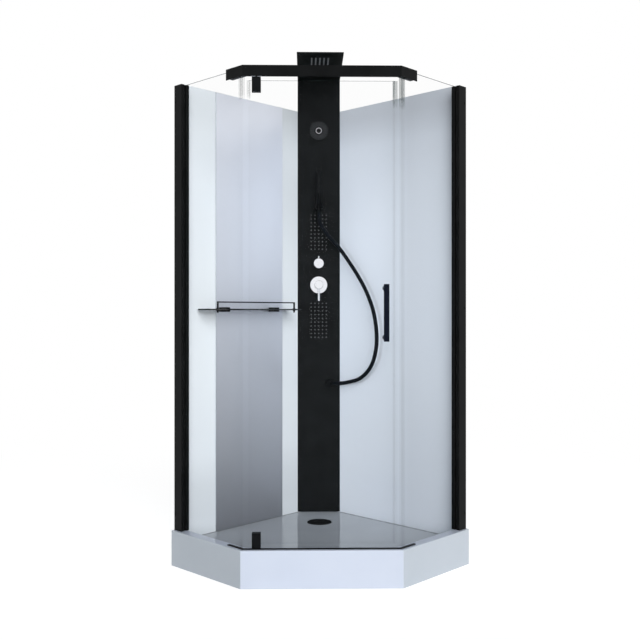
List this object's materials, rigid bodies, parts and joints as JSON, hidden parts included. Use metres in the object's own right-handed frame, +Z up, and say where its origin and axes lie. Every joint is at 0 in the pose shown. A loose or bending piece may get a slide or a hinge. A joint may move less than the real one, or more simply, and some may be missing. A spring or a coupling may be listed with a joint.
{
  "type": "shower cabin",
  "caption": "Corner shower cabin with a five-sided white tray, pivoting glass door, fixed side glasses, white walls, mirror strip, shelf and a black shower column.",
  "frame": {"origin": "on the floor, at the middle of the bounding box", "axes": "+X to the viewer's right, +Y from the door to the room corner, +Z up"},
  "size_m": [1.2766, 0.9826, 2.239],
  "materials": {
    "white_acrylic": "gloss",
    "board": "raw chipboard",
    "galvanised_steel": "zinc plated",
    "black_plastic": "satin",
    "grey_plastic": "moulded",
    "white_panel": "gloss",
    "mirror": "smoked mirror",
    "black_aluminium": "satin powder coat",
    "clear_glass": "clear",
    "black_rubber": "smooth",
    "clear_seal": "see-through",
    "black_metal": "satin powder coat",
    "black_column": "satin lacquer",
    "grey_silicone": "soft",
    "chrome": "bright",
    "brass": "raw",
    "smoked_glass": "smoked"
  },
  "bodies": {
    "cabin": {"tray": "white_acrylic", "tray_base_board": "board", "tray_frame": "galvanised_steel", "foot_lock_nuts": "galvanised_steel", "pivot_pins": "galvanised_steel", "post_screws": "galvanised_steel", "tray_feet": "black_plastic", "waste_flange": "black_plastic", "column_base_cap": "black_plastic", "jet_boxes": "black_plastic", "overhead_neck": "black_plastic", "waste_trap": "grey_plastic", "left_wall_panel": "white_panel", "right_wall_panel": "white_panel", "mirror": "mirror", "left_post": "black_aluminium", "right_post": "black_aluminium", "wall_channels": "black_aluminium", "top_rail": "black_aluminium", "rail_returns": "black_aluminium", "threshold_strip": "black_aluminium", "left_fixed_glass": "clear_glass", "right_fixed_glass": "clear_glass", "glazing_gaskets": "black_rubber", "shower_hose": "black_rubber", "left_edge_seal": "clear_seal", "right_magnet_seal": "clear_seal", "hose_elbow": "black_metal", "hand_shower_holder": "black_metal", "shelf_brackets": "black_metal", "shelf_guard_rail": "black_metal", "column_housing": "black_column", "column_back_plate": "black_column", "overhead_plate": "black_column", "rose_body": "black_column", "overhead_strips": "grey_silicone", "spray_nozzles": "grey_silicone", "rose_ring": "chrome", "mixer_plate": "chrome", "mixer_valve": "brass", "diverter_valve": "brass", "supply_nipples": "brass", "water_pipes": "brass", "shelf_plate": "smoked_glass"},
    "door": {"door_glass": "clear_glass", "top_hinge": "black_metal", "bottom_hinge": "black_metal", "hinge_clamps": "black_metal", "hinge_screws": "galvanised_steel", "door_handle": "black_metal", "handle_fixings": "black_metal", "door_side_seal": "clear_seal", "door_magnet_seal": "clear_seal", "door_drip_seal": "clear_seal"},
    "mixer_spindle": {"mixer_spindle": "chrome"},
    "mixer_handle": {"mixer_handle": "chrome"},
    "diverter_knob": {"diverter_knob": "chrome"},
    "hand_shower": {"hand_shower": "black_metal"},
    "drain_cover": {"drain_cover": "black_plastic", "dip_tube": "grey_plastic"}
  },
  "joints": [
    {"name": "door_swing", "type": "hinge", "parent": "cabin", "child": "door", "pos_m": [-0.25924, -0.43427, 1.0835], "axis": [0, 0, -1], "range_deg": [0, 100]},
    {"name": "mixer_turn", "type": "hinge", "parent": "cabin", "child": "mixer_spindle", "pos_m": [0, 0.3708, 1.219], "axis": [0, 1, 0], "range_deg": [-45, 45]},
    {"name": "mixer_tilt", "type": "hinge", "parent": "mixer_spindle", "child": "mixer_handle", "pos_m": [0, 0.3488, 1.219], "axis": [-1, 0, 0], "range_deg": [0, 25]},
    {"name": "diverter_turn", "type": "hinge", "parent": "cabin", "child": "diverter_knob", "pos_m": [0, 0.3708, 1.324], "axis": [0, 1, 0], "range_deg": [-90, 90]},
    {"name": "hand_shower_lift", "type": "slide", "parent": "cabin", "child": "hand_shower", "axis": [0, 0, 1], "range_m": [0, 0.1], "deforming": ["shower_hose"]},
    {"name": "drain_cover_lift", "type": "slide", "parent": "cabin", "child": "drain_cover", "axis": [0, 0, 1], "range_m": [0, 0.08]}
  ]
}
